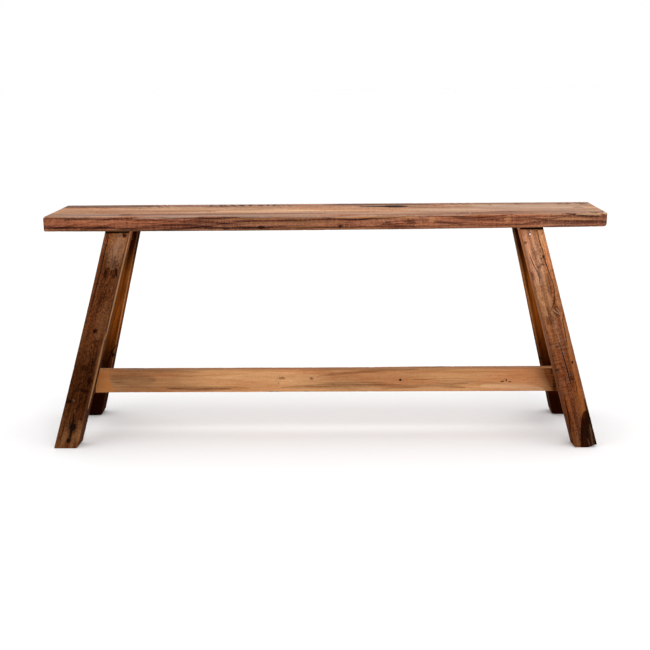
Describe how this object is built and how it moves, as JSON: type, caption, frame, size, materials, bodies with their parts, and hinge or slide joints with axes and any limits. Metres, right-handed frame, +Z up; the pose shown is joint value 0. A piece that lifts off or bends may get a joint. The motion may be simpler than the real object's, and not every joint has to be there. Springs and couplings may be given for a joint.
{
  "type": "wooden bench",
  "caption": "Rustic wooden bench: a thick plank seat on splayed square legs, with cross rails and one long stretcher near the floor.",
  "frame": {"origin": "on the floor, under the middle of the seat", "axes": "+Z up, +X along the bench to the right seen from the front, -Y towards the front"},
  "size_m": [1.1016, 0.2852, 0.462],
  "materials": {
    "seat_wood": "worn, hand-waxed, grey-brown top and reddish edge",
    "dark_leg_wood": "old dark surface, cracked and stained",
    "light_leg_wood": "worn orange-brown, cracked, with saw marks",
    "rear_leg_wood": "oiled orange-brown",
    "inner_wood": "rough sawn",
    "stretcher_wood": "planed light tan, waxed",
    "peg_wood": "whittled end grain",
    "nail_steel": "bright hammered head",
    "screw_steel": "dull zinc"
  },
  "bodies": {
    "root": {"seat_plank": "seat_wood", "front_left_leg": "dark_leg_wood", "front_right_leg": "light_leg_wood", "rear_left_leg": "rear_leg_wood", "rear_right_leg": "rear_leg_wood", "left_top_cleat": "inner_wood", "right_top_cleat": "inner_wood", "left_cross_rail": "inner_wood", "right_cross_rail": "inner_wood", "long_stretcher": "stretcher_wood", "stretcher_wedges": "peg_wood", "rail_pegs": "peg_wood", "leg_nails": "nail_steel", "cleat_screws": "screw_steel"}
  },
  "joints": []
}
